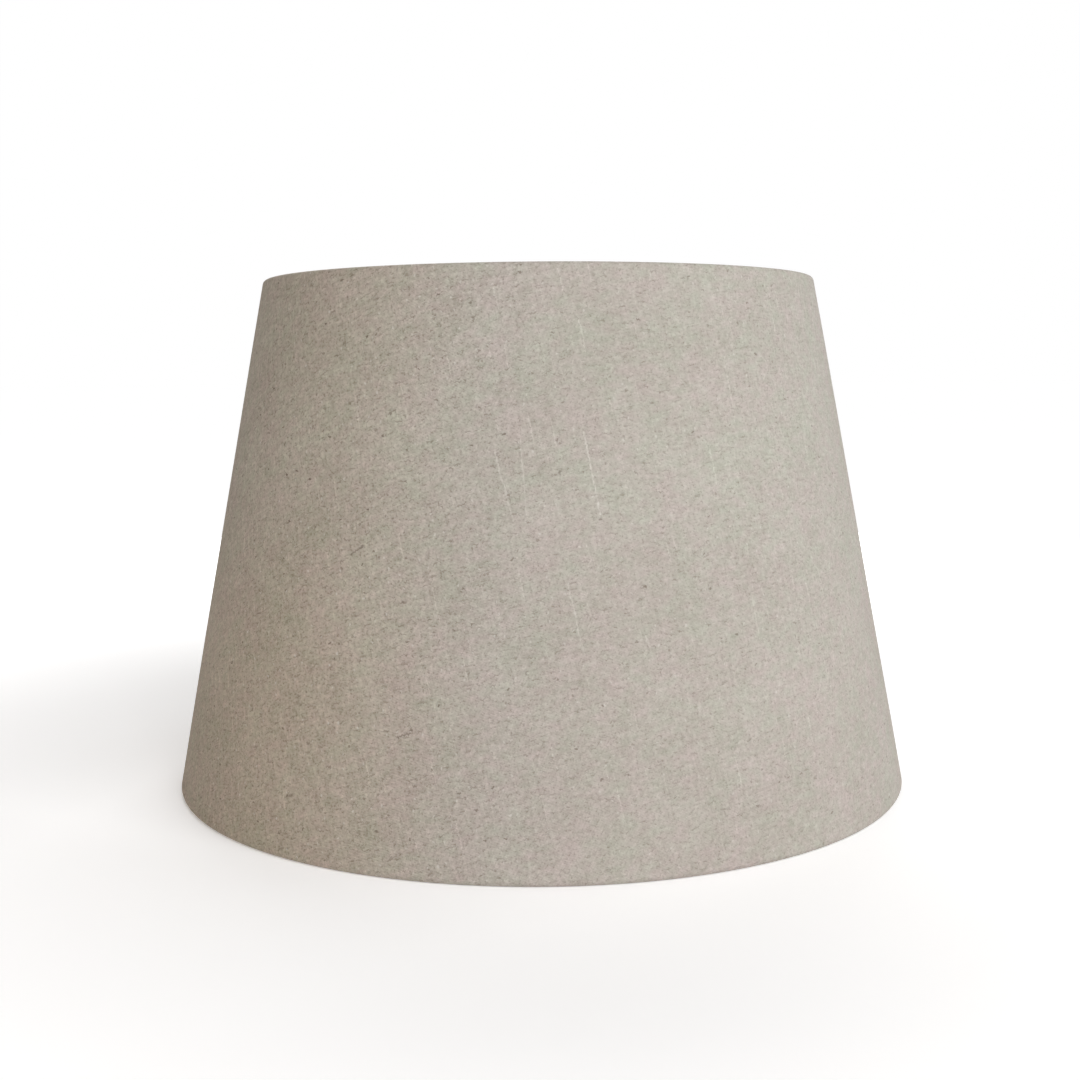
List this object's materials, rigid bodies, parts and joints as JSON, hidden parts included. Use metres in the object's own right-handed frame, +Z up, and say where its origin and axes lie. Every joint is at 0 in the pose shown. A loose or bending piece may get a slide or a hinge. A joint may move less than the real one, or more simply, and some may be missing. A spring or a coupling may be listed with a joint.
{
  "type": "lamp shade",
  "caption": "Tapered hardback lamp shade in natural linen with rolled edges, open top and bottom, and a gimbal fitter that turns inside the top ring.",
  "frame": {"origin": "centre of the lower rolled edge, on the plane that the shade stands on", "axes": "+Z up along the shade's axis, the gimbal turns about X, the back seam is on the +Y side"},
  "size_m": [0.406, 0.406, 0.277],
  "materials": {
    "linen": "natural oatmeal slub linen, plain weave, dry",
    "lining": "satin white styrene sheet",
    "tape": "thin double-sided tape, dull",
    "coated_wire": "white powder coat, satin",
    "plated_steel": "bright zinc plate",
    "reducer": "moulded white nylon, slight sheen"
  },
  "bodies": {
    "shade": {"fabric_cover": "linen", "hardback_lining": "lining", "seam_tape": "tape", "top_ring": "coated_wire", "bottom_ring": "coated_wire", "top_ring_tape": "tape", "bottom_ring_tape": "tape", "left_pivot_lug": "plated_steel", "right_pivot_lug": "plated_steel", "left_pivot_rivet": "plated_steel", "right_pivot_rivet": "plated_steel"},
    "gimbal": {"left_gimbal_arm": "coated_wire", "right_gimbal_arm": "coated_wire", "fitter_ring": "coated_wire"},
    "reducer": {"reducer_ring": "reducer"}
  },
  "joints": [
    {"name": "gimbal_turn", "type": "hinge", "parent": "shade", "child": "gimbal", "pos_m": [0, 0, 0.26433], "axis": [1, 0, 0], "continuous": true},
    {"name": "reducer_pull", "type": "slide", "parent": "gimbal", "child": "reducer", "axis": [0, 0, 1], "range_m": [0, 0.04]}
  ]
}
